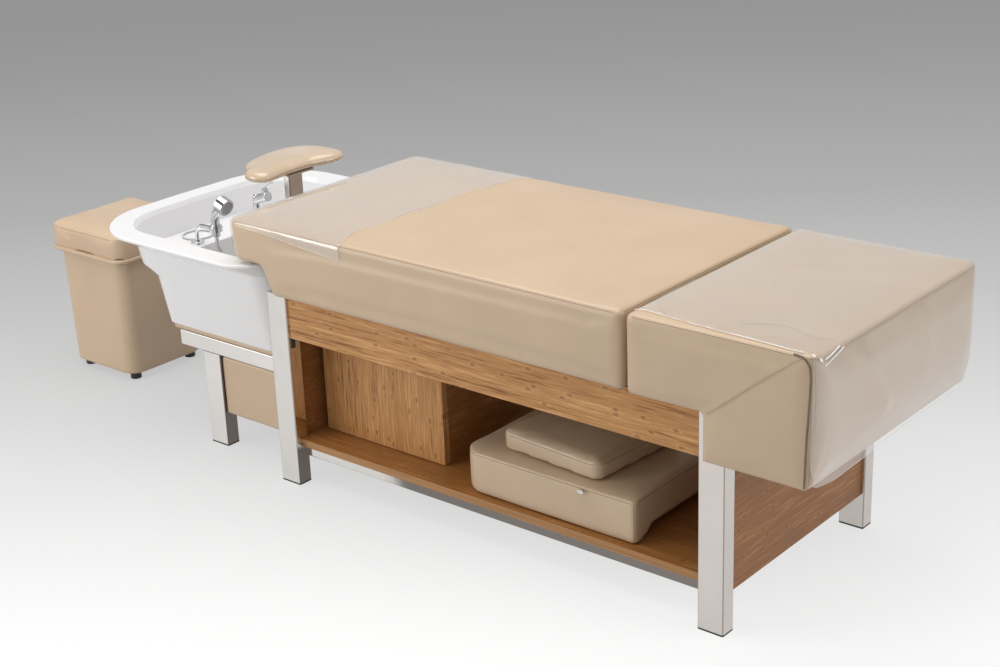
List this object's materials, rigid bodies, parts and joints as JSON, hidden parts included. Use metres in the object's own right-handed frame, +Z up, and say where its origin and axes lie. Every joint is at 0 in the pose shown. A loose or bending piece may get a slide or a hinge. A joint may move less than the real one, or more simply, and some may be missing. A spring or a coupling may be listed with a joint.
{
  "type": "hair washing bed",
  "caption": "Head wash treatment bed: steel and bamboo frame with shelf and cabinet, cushioned top, basin with taps on its own stand, neck rest and storage stool.",
  "frame": {"origin": "on the floor, under the middle of the whole set", "axes": "+X from the basin and stool end to the foot end, +Z up, the side with the cabinet door faces -Y"},
  "size_m": [2.507, 0.694, 0.69],
  "materials": {
    "polished_steel": "mirror-polished stainless rectangular tube",
    "painted_steel": "dark powder-coated steel",
    "fastener_steel": "zinc-plated steel",
    "bamboo": "lacquered caramel bamboo board with dark nodes",
    "edge_band": "light bamboo edge band",
    "plywood": "plain plywood",
    "beige_leathercloth": "beige leathercloth, satin, over foam or board",
    "clear_film": "clear soft PVC sheet",
    "white_basin": "white gloss cast resin",
    "chrome": "polished chrome plate",
    "black_plastic": "black moulded plastic",
    "grey_plastic": "grey moulded plastic",
    "grey_rubber": "grey rubber",
    "zip_metal": "small cast zip pull"
  },
  "bodies": {
    "bed": {"apron_corner_brackets": "painted_steel", "apron_far": "bamboo", "apron_near": "bamboo", "basin": "white_basin", "basin_back_nuts": "chrome", "basin_board": "beige_leathercloth", "basin_stand_legs": "polished_steel", "basin_stand_links": "polished_steel", "basin_stand_rails": "polished_steel", "bed_foot_legs": "polished_steel", "bed_head_legs": "polished_steel", "bottle_trap": "grey_plastic", "cabinet_panels": "bamboo", "cabinet_top_panel": "bamboo", "deck_board": "plywood", "drain_flange": "chrome", "foot_cushion": "beige_leathercloth", "foot_end_panel": "bamboo", "foot_film": "clear_film", "head_end_panel": "bamboo", "head_film": "clear_film", "hose_outlet": "chrome", "leg_foot_caps": "black_plastic", "lower_rails": "polished_steel", "magnet_catch": "black_plastic", "main_cushion": "beige_leathercloth", "mixer_body": "chrome", "mixer_inlet_tails": "chrome", "mixer_link_pipe": "chrome", "neck_rest_arm": "painted_steel", "neck_rest_arm_bolts": "fastener_steel", "neck_rest_sleeve": "polished_steel", "shelf_board": "bamboo", "shelf_edge_bands": "edge_band", "shower_holder": "chrome", "shower_hose": "chrome", "skirt_panels": "beige_leathercloth", "tap_deck_ring": "grey_rubber", "upper_rails": "painted_steel"},
    "mixer_cap": {"mixer_cap": "chrome", "mixer_lever_pin": "chrome"},
    "mixer_lever": {"mixer_lever": "chrome"},
    "hand_shower": {"hand_shower": "chrome", "hand_shower_face": "grey_plastic", "hose_swivel_nut": "chrome"},
    "drain_strainer": {"drain_strainer": "chrome"},
    "neck_rest": {"neck_rest_post": "polished_steel", "neck_rest_board": "plywood", "neck_rest_pad": "beige_leathercloth"},
    "clamp_knob": {"neck_rest_clamp_knob": "black_plastic"},
    "cabinet_door": {"cabinet_door": "bamboo", "door_pivot_pins": "fastener_steel", "door_catch_plate": "fastener_steel"},
    "filler_cushion": {"filler_cushion": "beige_leathercloth", "filler_zip_pull": "zip_metal"},
    "pillow": {"pillow": "beige_leathercloth"},
    "stool": {"stool_box": "beige_leathercloth", "stool_feet": "black_plastic"},
    "stool_lid": {"stool_lid_board": "plywood", "stool_lid_cushion": "beige_leathercloth"}
  },
  "joints": [
    {"name": "mixer_cap_turn", "type": "hinge", "parent": "bed", "child": "mixer_cap", "pos_m": [-0.6622, 0.11, 0.515], "axis": [0.9397, 0, 0.342], "range_deg": [-35, 35]},
    {"name": "mixer_lever_lift", "type": "hinge", "parent": "mixer_cap", "child": "mixer_lever", "pos_m": [-0.62945, 0.11, 0.54693], "axis": [0, -1, 0], "range_deg": [0, 25]},
    {"name": "hand_shower_lift", "type": "slide", "parent": "bed", "child": "hand_shower", "axis": [0, 0, 1], "range_m": [0, 0.06]},
    {"name": "drain_strainer_lift", "type": "slide", "parent": "bed", "child": "drain_strainer", "axis": [0, 0, 1], "range_m": [0, 0.03]},
    {"name": "neck_rest_height", "type": "slide", "parent": "bed", "child": "neck_rest", "axis": [0, 0, 1], "range_m": [0, 0.04]},
    {"name": "clamp_knob_turn", "type": "hinge", "parent": "bed", "child": "clamp_knob", "pos_m": [-0.3992, 0, 0.56], "axis": [1, 0, 0], "range_deg": [0, 180]},
    {"name": "cabinet_door_swing", "type": "hinge", "parent": "bed", "child": "cabinet_door", "pos_m": [-0.1222, -0.191, 0.24], "axis": [0, 0, -1], "range_deg": [0, 88]},
    {"name": "filler_cushion_slide", "type": "slide", "parent": "bed", "child": "filler_cushion", "axis": [0, -1, 0], "range_m": [0, 0.55]},
    {"name": "pillow_slide", "type": "slide", "parent": "filler_cushion", "child": "pillow", "axis": [0, -1, 0], "range_m": [0, 0.15]},
    {"name": "stool_slide", "type": "slide", "parent": "bed", "child": "stool", "axis": [-1, 0, 0], "range_m": [0, 0.4]},
    {"name": "stool_lid_lift", "type": "slide", "parent": "stool", "child": "stool_lid", "axis": [0, 0, 1], "range_m": [0, 0.15]}
  ]
}
